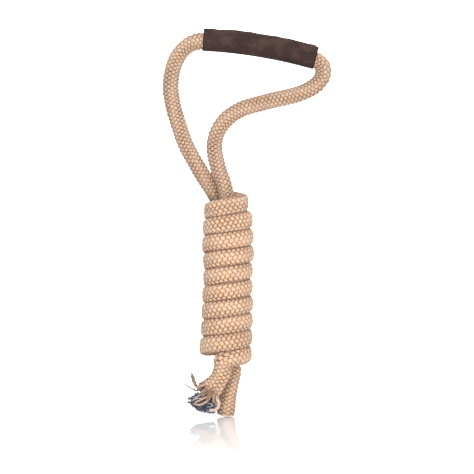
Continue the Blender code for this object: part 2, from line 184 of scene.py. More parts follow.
# The rim of cut yarns: share of the cut end's radius, and how far past it in millimetres
CUT_RIM = (
    (1.04, 0.0),
    (1.07, 0.35),
    (1.07, 0.9),
    (1.04, 1.3),
    (0.96, 1.4),
    (0.86, 1.25),
    (0.78, 0.6),
    (0.70, -1.5),
)
CUT_CORE_ENDS, CUT_CORE_RADIUS = 300, 7.0 * MM
COVER_STOPS, COVER_WALL = 9.0 * MM, 1.3 * MM
LOOSE_YARNS, YARN_LAYERS, YARN_PLIES, YARN_WISPS = 40, 3, 4, 3
GOLDEN_ANGLE = math.pi * (3 - math.sqrt(5))
TUFT_CENTRE, TUFT_HALF = np.array((-61.2, -9.8, -392.8)) * MM, np.array((17.0, 11.0, 10.6)) * MM
TUFT_TILT_DEG = 20
TUFT_FIBRES, SPUR_FIBRES, LOW_END_FIBRES = 620, 12, 110
LOW_END_SPREAD = np.array((1.9, 2.6, 1.3))
TUFT_SPURS = (
    ((-68.0, -11.0, -389.0), (-78.6, -11.5, -387.8)),
    ((-69.0, -12.0, -393.0), (-78.4, -12.5, -391.6)),
)
TUFT_LOW_END = ((-57.0, -11.0, -395.0), (-51.8, -10.5, -403.0))

# Loose yarns: name, radii along them in millimetres, tint from dark to pale, and route in millimetres
YARNS = (
    (
        "yarn_upright",
        (0.9, 1.2, 1.8, 2.2, 2.1, 0.6),
        0.16,
        ((-63.6, -10.4, -379.4), (-69.2, -11.0, -373.9), (-72.2, -11.5, -367.0), (-74.2, -12.0, -359.3)),
    ),
    (
        "yarn_thin",
        (0.75, 0.8, 0.8, 0.55),
        0.22,
        ((-62.8, -9.0, -379.2), (-70.6, -9.4, -378.8), (-76.6, -10.0, -375.4), (-82.6, -10.6, -371.7)),
    ),
    (
        "yarn_looped",
        (0.8, 1.2, 1.2, 0.8, 1.2, 1.2, 0.8),
        0.42,
        (
            (-52.6, -19.4, -385.0),
            (-58.0, -22.0, -385.4),
            (-64.4, -23.0, -388.4),
            (-70.8, -22.2, -392.4),
            (-65.6, -23.4, -393.6),
            (-59.6, -23.2, -391.4),
            (-54.4, -20.6, -387.4),
        ),
    ),
    (
        "yarn_pale",
        (1.3, 1.7, 1.9, 1.9, 1.7, 1.5),
        0.68,
        (
            (-50.6, -15.0, -380.6),
            (-46.6, -18.0, -387.0),
            (-44.2, -19.6, -393.0),
            (-47.0, -21.0, -398.6),
            (-54.4, -21.8, -400.0),
        ),
    ),
    (
        "yarn_back",
        (1.0, 1.0, 0.9, 0.5),
        0.55,
        ((-55.0, 0.0, -383.6), (-58.0, 2.8, -388.6), (-63.6, 3.8, -394.5)),
    ),
    (
        "yarn_wisp_left",
        (0.5, 0.45, 0.3),
        0.85,
        ((-60.0, -18.0, -381.4), (-66.0, -20.6, -384.0), (-70.6, -20.8, -387.0)),
    ),
    (
        "yarn_wisp_low",
        (0.4, 0.4, 0.25),
        0.80,
        ((-62.0, -20.4, -386.2), (-68.0, -21.6, -387.0), (-73.0, -21.0, -388.6)),
    ),
    (
        "yarn_wisp_right",
        (0.6, 0.55, 0.4),
        0.60,
        ((-50.0, -19.6, -382.4), (-54.0, -21.4, -385.6), (-58.6, -22.2, -386.6)),
    ),
)
# The loose yarns that have a part of their own in the CAD model
CAD_YARNS = {
    "yarn_upright": "yarn_upright",
    "yarn_thin": "yarn_thin",
    "yarn_looped": "yarn_loop",
    "yarn_pale": "yarn_pale",
    "yarn_back": "yarn_back",
}

# ---------------------------------------------------------------- the leather grip
LEATHER, SLEEVE_BORE, SLEEVE_TOP, SEAM_START, SEAM_GAP = 1.4 * MM, 9.1 * MM, 15.7 * MM, 12.6 * MM, 0.4 * MM
SLEEVE_LENGTH = 2 * GRIP_HALF - 1.0 * MM
STITCH_LINE, STITCH_PITCH, THREAD = 13.3 * MM, 4.2 * MM, 0.36 * MM
SLEEVE_STATIONS = 190
# Rises and dips of the sleeve's top, in millimetres: place along it and width in metres, and how far
SLEEVE_RISE = (-0.030, 0.012, 0.5)
SLEEVE_DIPS = ((-0.043, 0.008, 0.55), (SLEEVE_LENGTH / 2, 0.0032, 1.3))


def millimetres(points):
    return [tuple(MM * c for c in point) for point in points]


def grip_point(x):
    return Vector((x, 0.0, GRIP_RISE + GRIP_SLOPE * x + GRIP_BEND * x * x))


def swell(degrees):
    """How much further than usual the winding stands out at this angle of its helix."""
    turns = (COIL_START_DEG - degrees) / 360
    places, out = zip(*(((0.05, 0.0),) + COIL_SWELL + ((9.35, 0.0),)))
    return MM * float(np.interp(turns, places, out))


def coil_point(degrees):
    """A point of the winding's helix. It goes down as the angle falls: back, right, front, left."""
    turn = math.radians(degrees)
    radius = COIL_MID_RADIUS + MID_SHARE * swell(degrees)
    z = COIL_TOP_Z + COIL_PITCH * degrees / 360
    return Vector((COIL_X + radius * math.cos(turn), radius * math.sin(turn), z))


def smooth_route(points, sample=0.25 * MM):
    """A centripetal Catmull-Rom curve through the points, closely sampled."""
    pts = [np.array(p, dtype=float) for p in points]
    pts = [2 * pts[0] - pts[1]] + pts + [2 * pts[-1] - pts[-2]]
    out = []
    for p0, p1, p2, p3 in zip(pts, pts[1:], pts[2:], pts[3:]):
        t1 = np.sqrt(np.linalg.norm(p1 - p0))
        t2 = t1 + np.sqrt(np.linalg.norm(p2 - p1))
        t3 = t2 + np.sqrt(np.linalg.norm(p3 - p2))
        count = max(2, int(np.linalg.norm(p2 - p1) / sample))
        t = (t1 + (t2 - t1) * np.arange(count) / count)[:, None]
        a1 = (t1 - t) / t1 * p0 + t / t1 * p1
        a2 = (t2 - t) / (t2 - t1) * p1 + (t - t1) / (t2 - t1) * p2
        a3 = (t3 - t) / (t3 - t2) * p2 + (t - t2) / (t3 - t2) * p3
        b1 = (t2 - t) / t2 * a1 + t / t2 * a2
        b2 = (t3 - t) / (t3 - t1) * a2 + (t - t1) / (t3 - t1) * a3
        out.append((t2 - t) / (t2 - t1) * b1 + (t - t1) / (t2 - t1) * b2)
    return np.vstack(out + [pts[-2][None]])


def resample(points, step):
    """Evenly spaced points along a line, its last one kept."""
    lengths = np.concatenate([[0.0], np.cumsum(np.linalg.norm(np.diff(points, axis=0), axis=1))])
    count = max(2, int(round(lengths[-1] / step)) + 1)
    at = np.linspace(0, lengths[-1], count)
    return np.stack([np.interp(at, lengths, points[:, k]) for k in range(3)], axis=1), at


def unit(v):
    return v / np.linalg.norm(v, axis=-1, keepdims=True)


def carried_frames(points):
    """Tangents and two side directions at each point of a line, carried along without twist."""
    tangents = unit(np.gradient(points, axis=0))
    first = np.cross(tangents[0], (0.0, 1.0, 0.0) if abs(tangents[0][1]) < 0.9 else (1.0, 0.0, 0.0))
    sides = np.empty_like(points)
    side = first
    for k, tangent in enumerate(tangents):
        side = side - tangent * np.dot(side, tangent)
        side /= np.linalg.norm(side)
        sides[k] = side
    return tangents, sides, np.cross(tangents, sides)


def smoothstep(low, high, x):
    t = np.clip((x - low) / (high - low), 0, 1)
    return t * t * (3 - 2 * t)


# ---------------------------------------------------------------- meshes
def mesh_piece(name, verts, faces, material, smooth=True, attributes=None):
    mesh = bpy.data.meshes.new(name)
    mesh.from_pydata(np.asarray(verts).tolist(), [], faces.tolist() if hasattr(faces, "tolist") else faces)
    mesh.update()
    mesh.materials.append(material)
    mesh.polygons.foreach_set("use_smooth", [smooth] * len(mesh.polygons))
    for key, values in (attributes or {}).items():
        layer = mesh.attributes.new(key, "FLOAT", "POINT")
        layer.data.foreach_set("value", np.asarray(values, dtype=np.float32).ravel())
    piece = bpy.data.objects.new(name, mesh)
    bpy.context.scene.collection.objects.link(piece)
    return piece


def grid_faces(rows, columns, wrap=True, offset=0):
    """Quads of a grid of rows by columns, closed round when wrap is set."""
    across = columns if wrap else columns - 1
    r, c = np.meshgrid(np.arange(rows - 1), np.arange(across), indexing="ij")
    a = r * columns + c
    b = r * columns + (c + 1) % columns
    return np.stack([a, b, b + columns, a + columns], axis=-1).reshape(-1, 4) + offset


def strands_piece(name, strands, sides, material):
    """Many thin round strands as one mesh. Each is its line, its radius along that line, and its tint."""
    verts, faces, tint, start = [], [], [], 0
    turn = 2 * np.pi * np.arange(sides) / sides
    for line, radius, shade in strands:
        _, side, up = carried_frames(line)
        swell_along = np.broadcast_to(radius, len(line))
        spokes = np.cos(turn)[None, :, None] * side[:, None] + np.sin(turn)[None, :, None] * up[:, None]
        verts.append((line[:, None] + swell_along[:, None, None] * spokes).reshape(-1, 3))
        faces += grid_faces(len(line), sides, True, start).tolist()
        last = start + (len(line) - 1) * sides
        faces.append(list(range(start + sides - 1, start - 1, -1)))
        faces.append(list(range(last, last + sides)))
        tint.append(np.full(len(line) * sides, shade))
        start = last + sides
    return mesh_piece(name, np.vstack(verts), faces, material, True, {"tint": np.concatenate(tint)})


def spaced(points, count):
    """A smooth line through a few points, as evenly many points."""
    line = smooth_route(points)
    return line[np.linspace(0, len(line) - 1, count).astype(int)]


def plied(line, radius, plies, lay, shade):
    """A yarn: a few thinner plies twisted round its line. The radius may change along it."""
    _, side, up = carried_frames(line)
    at = np.concatenate([[0.0], np.cumsum(np.linalg.norm(np.diff(line, axis=0), axis=1))])
    radius = np.broadcast_to(radius, len(line))
    strands = []
    for ply in range(plies):
        turn = 2 * np.pi * (ply / plies + at / lay)
        reach = (0.52 * radius)[:, None]
        offset = reach * (np.cos(turn)[:, None] * side + np.sin(turn)[:, None] * up)
        strands.append((line + offset, 0.54 * radius, shade + 0.10 * (ply % 2)))
    return strands


# ---------------------------------------------------------------- the rope
class Rope:
    """The whole centreline in even steps, with its frame, thickness and the braid's count along it."""

    def __init__(self):
        grip = [tuple(grip_point(GRIP_HALF * k / 4)) for k in range(4, -5, -1)]
        turns = range(COIL_START_DEG + COIL_RUN_IN_DEG, COIL_END_DEG - 2 * COIL_STEP_DEG, -COIL_STEP_DEG)
        coil = [tuple(coil_point(a)) for a in turns]
        hand = millimetres(CUT_TAIL_ROUTE + STRAND_ROUTE + RIGHT_LEG_ROUTE) + grip
        hand += millimetres(LEFT_LEG_ROUTE) + coil + millimetres(FRAYED_TAIL_ROUTE)
        self.points, self.at = resample(smooth_route(hand), RING_STEP)
        self.tangents, self.side, self.up = carried_frames(self.points)
        self.total = self.at[-1]
        self.coil_start = self.nearest(coil_point(COIL_START_DEG + COIL_RUN_IN_DEG))
        self.coil_end = self.nearest(coil_point(COIL_END_DEG))
        self.coil_share = smoothstep(*COIL_BEGINS, self.at - self.coil_start)
        self.coil_share *= 1 - smoothstep(*COIL_ENDS, self.at - self.coil_end)
        stitch = LEG_STITCH + (COIL_STITCH - LEG_STITCH) * self.coil_share
        self.count = np.concatenate([[0.0], np.cumsum(np.diff(self.at) / stitch[1:])])

    def nearest(self, point):
        """The length along the rope that is nearest to a point."""
        return float(self.at[int(np.argmin(np.linalg.norm(self.points - np.array(point), axis=1)))])

    def height(self, low, high, z):
        """The length between low and high at which the rope passes this height."""
        inside = (self.at >= low) & (self.at <= high)
        return float(self.at[int(np.argmin(np.where(inside, np.abs(self.points[:, 2] - z), np.inf)))])


ROPE = Rope()
GRIP_RIGHT, GRIP_LEFT = ROPE.nearest(grip_point(GRIP_HALF)), ROPE.nearest(grip_point(-GRIP_HALF))
STRAND_BOTTOM = ROPE.height(0.03, 0.2, STRAND_LOW_Z)
STRAND_TOP = ROPE.height(0.1, GRIP_RIGHT, STRAND_HIGH_Z)


def wobble(values, wavelength, seed):
    """Smooth noise from -1 to 1 along a length, from a few sines."""
    phases = np.random.default_rng(seed).uniform(0, 2 * np.pi, 4)
    waves = (1.0, 0.61, 0.37, 0.23)
    total = sum(np.sin(2 * np.pi * values / (wavelength * w) + p) for w, p in zip(waves, phases))
    return total / 3


def braid_height(column, count):
    """Height of the braid above its valleys, the strand on top, and the place across and along that strand.

    Each visible piece of strand is a rounded pebble. The pebbles of every other column are half a stitch
    further on, and they lean the other way.
    """
    height = np.zeros_like(column)
    number, across, along = np.zeros_like(column), np.zeros_like(column), np.zeros_like(column)
    for shift in (-1, 0, 1):
        here = np.round(column) + shift
        odd = np.mod(here, 2)
        u = column - here
        v = count + 0.5 * odd - PEBBLE_LEAN * u * (1 - 2 * odd)
        stitch = np.round(v)
        v = v - stitch
        size = 1 + 0.06 * np.sin(12.9 * stitch + 4.7 * np.mod(here, COLUMNS))
        inside = 1 - np.abs(u / (PEBBLE_WIDE * size)) ** 2.2 - np.abs(v / (PEBBLE_LONG * size)) ** 2.2
        pebble = RELIEF * size * np.clip(inside, 0, 1) ** 0.5
        top = pebble > height
        height = np.where(top, pebble, height)
        number = np.where(top, np.mod(here * 5 + stitch * 3, COLUMNS), number)
        across = np.where(top, v, across)
        along = np.where(top, u, along)
    return height, number, across, along


def rope_radius(rows):
    """Outer radius of the round rope at these rows, before the coil's squarer section."""
    at = ROPE.at[rows]
    radius = np.full(len(rows), STRAND_RADIUS)
    leg = smoothstep(*LEG_WIDENS_Z, ROPE.points[rows][:, 2]) * (at > STRAND_TOP)
    radius += (LEG_RADIUS - STRAND_RADIUS) * leg
    radius[(at > GRIP_RIGHT) & (at < GRIP_LEFT)] = GRIP_ROPE_RADIUS
    radius += (TAIL_RADIUS - STRAND_RADIUS) * (1 - smoothstep(*CUT_TAIL_NARROWS, at))
    radius += (CUT_END_RADIUS - TAIL_RADIUS) * (1 - smoothstep(*CUT_END_FLARES, at))
    radius += (TAIL_RADIUS - STRAND_RADIUS) * smoothstep(*FRAYED_TAIL_WIDENS, at - ROPE.coil_end)
    radius += (FRAYED_END_RADIUS - TAIL_RADIUS) * smoothstep(*FRAYED_END_FLARES, at - ROPE.total)
    return radius * (1 + 0.012 * wobble(at, 0.055, seed=3))


def bulges(rows, spokes):
    """How far the rope's surface is pushed out at its tight bends, where it isn't round."""
    out = 0.0
    for point, direction, amount, length in BULGES:
        middle = ROPE.nearest(np.array(point) * MM)
        near = np.exp(-(((ROPE.at[rows] - middle) / (length * MM)) ** 2))
        toward = np.clip((spokes * np.array(direction)).sum(axis=-1), 0, 1) ** 1.5
        out = out + amount * MM * near[:, None] * toward
    return out


def rope_surface(start, end, around=AROUND, skip=1):
    """Rings of the braided surface between two lengths, with the attributes that its material reads."""
    rows = np.flatnonzero((ROPE.at >= start - 1e-9) & (ROPE.at <= end + 1e-9))[::skip]
    turn = 2 * np.pi * np.arange(around) / around
    centre, side, up = ROPE.points[rows], ROPE.side[rows], ROPE.up[rows]
    spokes = np.cos(turn)[None, :, None] * side[:, None] + np.sin(turn)[None, :, None] * up[:, None]
    share = ROPE.coil_share[rows][:, None]
    outward = centre - np.array((COIL_X, 0.0, 0.0))
    outward[:, 2] = 0
    distance = np.linalg.norm(outward, axis=1)
    depth = COIL_HALF_DEPTH + (distance - COIL_MID_RADIUS) * (1 - MID_SHARE) / MID_SHARE
    depth = np.clip(depth, COIL_HALF_DEPTH - 1.5 * MM, COIL_HALF_DEPTH + 1.5 * MM)[:, None]
    facing = np.arctan2((outward * up).sum(1), (outward * side).sum(1))[:, None]
    radial, axial = np.cos(turn[None] - facing), np.sin(turn[None] - facing)
    leftward = np.clip(-outward[:, 0] / np.maximum(distance, 1 * MM), 0, 1)[:, None]
    power = 2 + (COIL_SQUARENESS + LEFT_SQUARENESS * leftward - 2) * share
    square = (np.abs(radial / depth) ** power + np.abs(axial / COIL_HALF_WIDTH) ** power) ** (-1 / power)
    base = rope_radius(rows)[:, None] * (1 - share) + square * share + bulges(rows, spokes)
    count = ROPE.count[rows][:, None] + 0.10 * wobble(ROPE.at[rows], 0.09, seed=11)[:, None]
    column = (turn * COLUMNS / (2 * np.pi))[None] + 0.16 * wobble(ROPE.at[rows], 0.12, seed=5)[:, None]
    height, number, across, along = braid_height(column, count)
    fullness = 1 + 0.10 * np.sin(number * 2.399 + ROPE.at[rows][:, None] * 91)
    radius = base - RELIEF + height * fullness
    verts = centre[:, None] + radius[..., None] * spokes
    attributes = {
        "relief": height / RELIEF,
        # where the painted shade between the winding's turns falls
        "groove_shade": share * smoothstep(GROOVE_SHADE_START, GROOVE_SHADE_END, np.abs(radius * axial)),
        "leg_darkening": np.broadcast_to(smoothstep(*LEG_DARKENS_Z, centre[:, 2])[:, None], height.shape),
        "strand": number / COLUMNS + 0.04,
        "across": across,
        "along": along,
    }
    return rows, verts, attributes


def rope_piece(name, start, end, around=AROUND, skip=1):
    """A stretch of the braided rope as a mesh, and the rows of the whole rope that it uses."""
    rows, verts, attributes = rope_surface(start, end, around, skip)
    faces = grid_faces(len(rows), around)
    return mesh_piece(name, verts.reshape(-1, 3), faces, MATERIALS["braid"], True, attributes), rows


# ---------------------------------------------------------------- materials
def nodes_of(name):
    made = bpy.data.materials.new(name)
    made.use_nodes = True
    tree = made.node_tree
    return made, tree, tree.nodes["Principled BSDF"]


def link(tree, source, target):
    tree.links.new(source, target)


def attribute(tree, name):
    node = tree.nodes.new("ShaderNodeAttribute")
    node.attribute_name = name
    return node.outputs["Fac"]


def noise(tree, scale, detail=3.0, vector=None, rough=0.55):
    node = tree.nodes.new("ShaderNodeTexNoise")
    node.inputs["Scale"].default_value = scale
    node.inputs["Detail"].default_value = detail
    node.inputs["Roughness"].default_value = rough
    if vector is None:
        vector = tree.nodes.new("ShaderNodeTexCoord").outputs["Object"]
    link(tree, vector, node.inputs["Vector"])
    return node.outputs["Fac"]


def ramp(tree, fac, stops):
    node = tree.nodes.new("ShaderNodeValToRGB")
    while len(node.color_ramp.elements) < len(stops):
        node.color_ramp.elements.new(0.5)
    for element, (place, colour) in zip(node.color_ramp.elements, stops):
        element.position = place
        element.color = (*colour, 1.0)
    link(tree, fac, node.inputs["Fac"])
    return node.outputs["Color"]


def maths(tree, operation, a, b=None, clamp=False):
    node = tree.nodes.new("ShaderNodeMath")
    node.operation = operation
    node.use_clamp = clamp
    for socket, value in zip(node.inputs, (a, b)):
        if value is None:
            continue
        if isinstance(value, (int, float)):
            socket.default_value = value
        else:
            link(tree, value, socket)
    return node.outputs[0]


def mix(tree, fac, a, b, kind="MIX"):
    node = tree.nodes.new("ShaderNodeMix")
    node.data_type = "RGBA"
    node.blend_type = kind
    for socket, value in ((node.inputs["Factor"], fac), (node.inputs[6], a), (node.inputs[7], b)):
        if isinstance(value, (int, float)):
            socket.default_value = value
        elif isinstance(value, tuple):
            socket.default_value = (*value, 1.0)
        else:
            link(tree, value, socket)
    return node.outputs[2]


def bump(tree, shader, height, strength, distance):
    node = tree.nodes.new("ShaderNodeBump")
    node.inputs["Strength"].default_value = strength
    node.inputs["Distance"].default_value = distance
    link(tree, height, node.inputs["Height"])
    link(tree, node.outputs["Normal"], shader.inputs["Normal"])


# ---------------------------------------------------------------- colours: places on a ramp and their tones
# Braid colour by height: painted shade in the valleys, the yarns' own tone in between, a painted highlight
# on the crowns
BRAID_SHADE_TO_HIGHLIGHT = (
    (0.00, (0.115, 0.056, 0.029)),
    (0.30, (0.315, 0.180, 0.105)),
    (0.62, (0.515, 0.337, 0.222)),
    (0.93, (0.685, 0.500, 0.365)),
)
STRAND_TINTS = (
    (0.0, (0.91, 0.86, 0.82)),
    (0.35, (1.0, 1.0, 1.01)),
    (0.7, (1.05, 0.94, 0.79)),
    (1.0, (0.95, 0.95, 1.0)),
)
PATCH_TINTS = ((0.30, (0.90, 0.84, 0.80)), (0.55, (1.0, 1.0, 1.0)), (0.75, (1.04, 1.0, 0.92)))
# A darker, greyer tint for the legs and grip above the winding's top; painted shade in the grooves between
# the winding's turns
LEG_DARKER_TINT, GROOVE_SHADE_TINT = (0.80, 0.82, 0.86), (0.66, 0.57, 0.49)
LEATHER_TONES = (
    (0.38, (0.062, 0.031, 0.030)),
    (0.5, (0.104, 0.058, 0.053)),
    (0.60, (0.182, 0.112, 0.100)),
)
LEATHER_EDGE = (0.022, 0.011, 0.009)
LEATHER_GRAIN = ((0.35, (0.86, 0.85, 0.85)), (0.65, (1.08, 1.06, 1.05)))
THREAD_TONES = ((0.2, (0.060, 0.036, 0.031)), (0.8, (0.115, 0.075, 0.064)))
YARN_TONES = (
    (0.05, (0.17, 0.090, 0.050)),
    (0.45, (0.50, 0.33, 0.225)),
    (1.0, (0.80, 0.68, 0.59)),
)
RIM_TONES = ((0.2, (0.40, 0.30, 0.23)), (0.8, (0.72, 0.62, 0.54)))
CORE_TONES = (
    (0.05, (0.020, 0.018, 0.026)),
    (0.40, (0.085, 0.092, 0.145)),
    (0.70, (0.20, 0.22, 0.31)),
    (0.95, (0.62, 0.63, 0.68)),
)


def braid_material():
    """Dry natural yarns: a painted highlight on the crowns and painted shade in the valleys, with the yarns'
    own twist as a bump.
    """
    made, tree, shader = nodes_of("braid")
    relief = attribute(tree, "relief")
    strand = attribute(tree, "strand")
    mottled = noise(tree, 900, 4)
    wide = noise(tree, 42, 2)
    uneven = maths(tree, "MULTIPLY", maths(tree, "SUBTRACT", mottled, 0.5), 0.35)
    # Painted shade in the braid's valleys and a painted highlight on its crowns, set by the braid's height
    colour = ramp(tree, maths(tree, "ADD", relief, uneven), BRAID_SHADE_TO_HIGHLIGHT)
    colour = mix(tree, 1.0, colour, ramp(tree, strand, STRAND_TINTS), "MULTIPLY")
    # A darker, greyer tint on the legs and grip, above the winding's top
    colour = mix(tree, attribute(tree, "leg_darkening"), colour, LEG_DARKER_TINT, "MULTIPLY")
    # Painted shade in the grooves between the winding's turns
    colour = mix(tree, attribute(tree, "groove_shade"), colour, GROOVE_SHADE_TINT, "MULTIPLY")
    colour = mix(tree, 0.8, colour, ramp(tree, wide, PATCH_TINTS), "MULTIPLY")
    link(tree, colour, shader.inputs["Base Color"])
    shader.inputs["Roughness"].default_value = 0.82
    shader.inputs["Specular IOR Level"].default_value = 0.25
    shader.inputs["Sheen Weight"].default_value = 0.25
    shader.inputs["Sheen Roughness"].default_value = 0.5
    across = maths(tree, "MULTIPLY", attribute(tree, "across"), 44.0)
    along = maths(tree, "MULTIPLY", attribute(tree, "along"), 15.0)
    yarns = maths(tree, "SINE", maths(tree, "ADD", across, along))
    fine = maths(tree, "MULTIPLY", noise(tree, 2600, 3), 0.9)
    fuzz = maths(tree, "ADD", maths(tree, "MULTIPLY", yarns, 0.5), fine)
    bump(tree, shader, fuzz, 0.75, 0.16 * MM)
    return made


def fibre_material(name, stops, rough=0.9):
    """Loose fibres whose colour follows each strand's own tint, with fine streaks."""
    made, tree, shader = nodes_of(name)
    streaks = maths(tree, "MULTIPLY", maths(tree, "SUBTRACT", noise(tree, 700, 3), 0.5), 0.5)
    tint = maths(tree, "ADD", attribute(tree, "tint"), streaks)
    link(tree, ramp(tree, tint, stops), shader.inputs["Base Color"])
    shader.inputs["Roughness"].default_value = rough
    shader.inputs["Specular IOR Level"].default_value = 0.2
    shader.inputs["Sheen Weight"].default_value = 0.2
    bump(tree, shader, noise(tree, 3000, 3), 0.5, 0.08 * MM)
    return made


def leather_material():
    """Dark brown matte leather with a fine grain, darker burnished edges and slight rubbed patches."""
    made, tree, shader = nodes_of("leather")
    place = tree.nodes.new("ShaderNodeTexCoord").outputs["Object"]
    wide = noise(tree, 60, 4, place)
    fine = noise(tree, 1100, 4, place)
    colour = ramp(tree, wide, LEATHER_TONES)
    edge = attribute(tree, "edge")
    colour = mix(tree, edge, colour, LEATHER_EDGE)
    colour = mix(tree, 0.7, colour, ramp(tree, fine, LEATHER_GRAIN), "MULTIPLY")
    link(tree, colour, shader.inputs["Base Color"])
    cells = tree.nodes.new("ShaderNodeTexVoronoi")
    cells.inputs["Scale"].default_value = 1500
    cells.feature = "DISTANCE_TO_EDGE"
    link(tree, place, cells.inputs["Vector"])
    grain = maths(tree, "MINIMUM", cells.outputs["Distance"], 0.12)
    rough = maths(tree, "ADD", maths(tree, "MULTIPLY", wide, 0.20), 0.68)
    link(tree, rough, shader.inputs["Roughness"])
    shader.inputs["Specular IOR Level"].default_value = 0.18
    height = maths(tree, "ADD", maths(tree, "MULTIPLY", grain, 4.0), maths(tree, "MULTIPLY", wide, 1.6))
    bump(tree, shader, height, 0.35, 0.22 * MM)
    return made


MATERIALS = {
    "braid": braid_material(),
    "leather": leather_material(),
    "thread": fibre_material("thread", THREAD_TONES, 0.6),
    "core": fibre_material("core", CORE_TONES),
    "yarn": fibre_material("yarn", YARN_TONES),
    "rim": fibre_material("rim", RIM_TONES),
}


# ---------------------------------------------------------------- camera: level, straight on, long lens
def make_camera():
    data = bpy.data.cameras.new("camera")
    camera = bpy.data.objects.new("camera", data)
    bpy.context.scene.collection.objects.link(camera)
    bpy.context.scene.camera = camera
    distance, width = 1.9, 0.5214
    camera.location = (-0.0245, -distance, -0.2112)
    camera.rotation_euler = (math.pi / 2, 0, 0)
    data.sensor_width = 36.0
    data.lens = data.sensor_width * distance / width
    data.clip_end = 20


def declare(rows):
    """The middle line of a stretch of the rope, thinned out; nothing further is done with it."""
    path = ROPE.points[rows]
    path = path[:: max(1, len(path) // 900)]


def make_loop():
    """The two legs of the hand loop down to the winding, and the stretch of rope inside the grip."""
    inside = INSIDE_SLEEVE
    right, rows = rope_piece("right_leg_rope", STRAND_TOP, GRIP_RIGHT + inside)
    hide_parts("right_leg_cover", "right_leg_core", "right_neck")
    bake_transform(right)
    declare(rows)
    coil_end = ROPE.nearest(coil_point(LEG_TO_COIL_DEG))
    left, rows = rope_piece("left_leg_rope", GRIP_LEFT - inside, coil_end)
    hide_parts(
        "left_leg_cover",
        "left_leg_core",
        "left_neck",
        "winding_lead_cover",
        "winding_lead_core",
    )
    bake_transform(left)
    declare(rows)
    grip, rows = rope_piece("grip_rope", GRIP_RIGHT + inside, GRIP_LEFT - inside, HIDDEN_AROUND, HIDDEN_SKIP)
    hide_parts("grip_rope_cover", "grip_rope_core")
    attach(grip, "handle")
    declare(rows)


def make_winding():
    """The turns of rope round the straight strand, and that strand."""
    start, end = ROPE.nearest(coil_point(LEG_TO_COIL_DEG)), ROPE.nearest(coil_point(COIL_TO_TAIL_DEG))
    piece, rows = rope_piece("winding_rope", start, end)
    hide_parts("winding")
    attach(piece, "coil")
    declare(rows)
    strand, rows = rope_piece("centre_strand", STRAND_BOTTOM, STRAND_TOP, HIDDEN_AROUND, HIDDEN_SKIP)
    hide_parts("centre_strand_cover", "centre_strand_core")
    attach(strand, "coil")
    declare(rows)


def cut_end_verts(rows, verts):
    """The cover's cut end, drawn in over its last few millimetres."""
    left = ROPE.at[rows] - CUT_RIM_HEIGHT
    arc = np.sqrt(np.clip(1 - (1 - left / CUT_END_ROUND) ** 2, 0, 1))
    inward = CUT_END_ROUND * (1 - arc) * (left < CUT_END_ROUND)
    centre = ROPE.points[rows][:, None]
    radius = np.linalg.norm(verts - centre, axis=2, keepdims=True)
    return centre + (verts - centre) * (1 - CUT_END_DRAWN_IN * inward[:, None, None] / radius)


def make_cut_tail():
    """The tail that is cut square: braided cover, pale rim of cut yarns and the core's fibre ends."""
    rows, verts, attributes = rope_surface(CUT_RIM_HEIGHT, STRAND_BOTTOM)
    verts = cut_end_verts(rows, verts)
    faces = grid_faces(len(rows), AROUND)
    piece = mesh_piece("cut_tail_rope", verts.reshape(-1, 3), faces, MATERIALS["braid"], True, attributes)
    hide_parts("cut_tail_cover", "cut_tail_bend")
    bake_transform(piece)
    declare(rows)
    centre, down = ROPE.points[rows[0]], -ROPE.tangents[0]
    rim = [verts[0]]
    for share, lift in CUT_RIM:
        rim.append(centre + (verts[0] - centre) * share + down * lift * MM)
    tint = np.repeat(np.linspace(1.0, 0.7, len(rim)), AROUND)
    faces = grid_faces(len(rim), AROUND)[:, ::-1]
    ring = mesh_piece("cut_tail_rim", np.vstack(rim), faces, MATERIALS["rim"], True, {"tint": tint})
    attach(ring, "cut_tail")
    side, up = ROPE.side[0], ROPE.up[0]
    fibres = []
    count, inner = CUT_CORE_ENDS, CUT_CORE_RADIUS
    for k in range(count):
        radius, angle = inner * math.sqrt((k + 0.5) / count), k * GOLDEN_ANGLE
        foot = centre + radius * (math.cos(angle) * side + math.sin(angle) * up)
        tip = foot + down * (1.7 + 0.5 * RNG.random()) * MM + 0.2 * MM * RNG.normal(size=3)
        line = np.array([foot - down * 3 * MM, foot - down * 1 * MM, tip])
        fibres.append((line, (0.30 + 0.12 * RNG.random()) * MM, RNG.beta(2, 3)))
    ends = strands_piece("cut_tail_core_ends", fibres, 6, MATERIALS["core"])
    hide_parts("cut_tail_core")
    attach(ends, "cut_tail")


def make_frayed_tail():
    """The tail that comes off the last turn, braided until its end, where the cover opens."""
    start, end = ROPE.nearest(coil_point(COIL_TO_TAIL_DEG)), ROPE.total - COVER_STOPS
    rows, verts, attributes = rope_surface(start, end)
    turn = 2 * np.pi * np.arange(AROUND) / AROUND
    ragged = 1.5 * MM * np.sin(6 * turn + 1.0) + 0.9 * MM * np.sin(11 * turn + 2.0)
    opened = smoothstep(-9 * MM, 0, ROPE.at[rows] - end)[:, None, None]
    verts = verts + ROPE.tangents[rows][:, None] * opened * ragged[None, :, None]
    faces = grid_faces(len(rows), AROUND)
    piece = mesh_piece("frayed_tail_rope", verts.reshape(-1, 3), faces, MATERIALS["braid"], True, attributes)
    wall = piece.modifiers.new("cover", "SOLIDIFY")
    wall.thickness = COVER_WALL
    wall.offset = -1
    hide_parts("frayed_tail_cover", "frayed_tail_bend")
    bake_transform(piece)
    declare(rows)


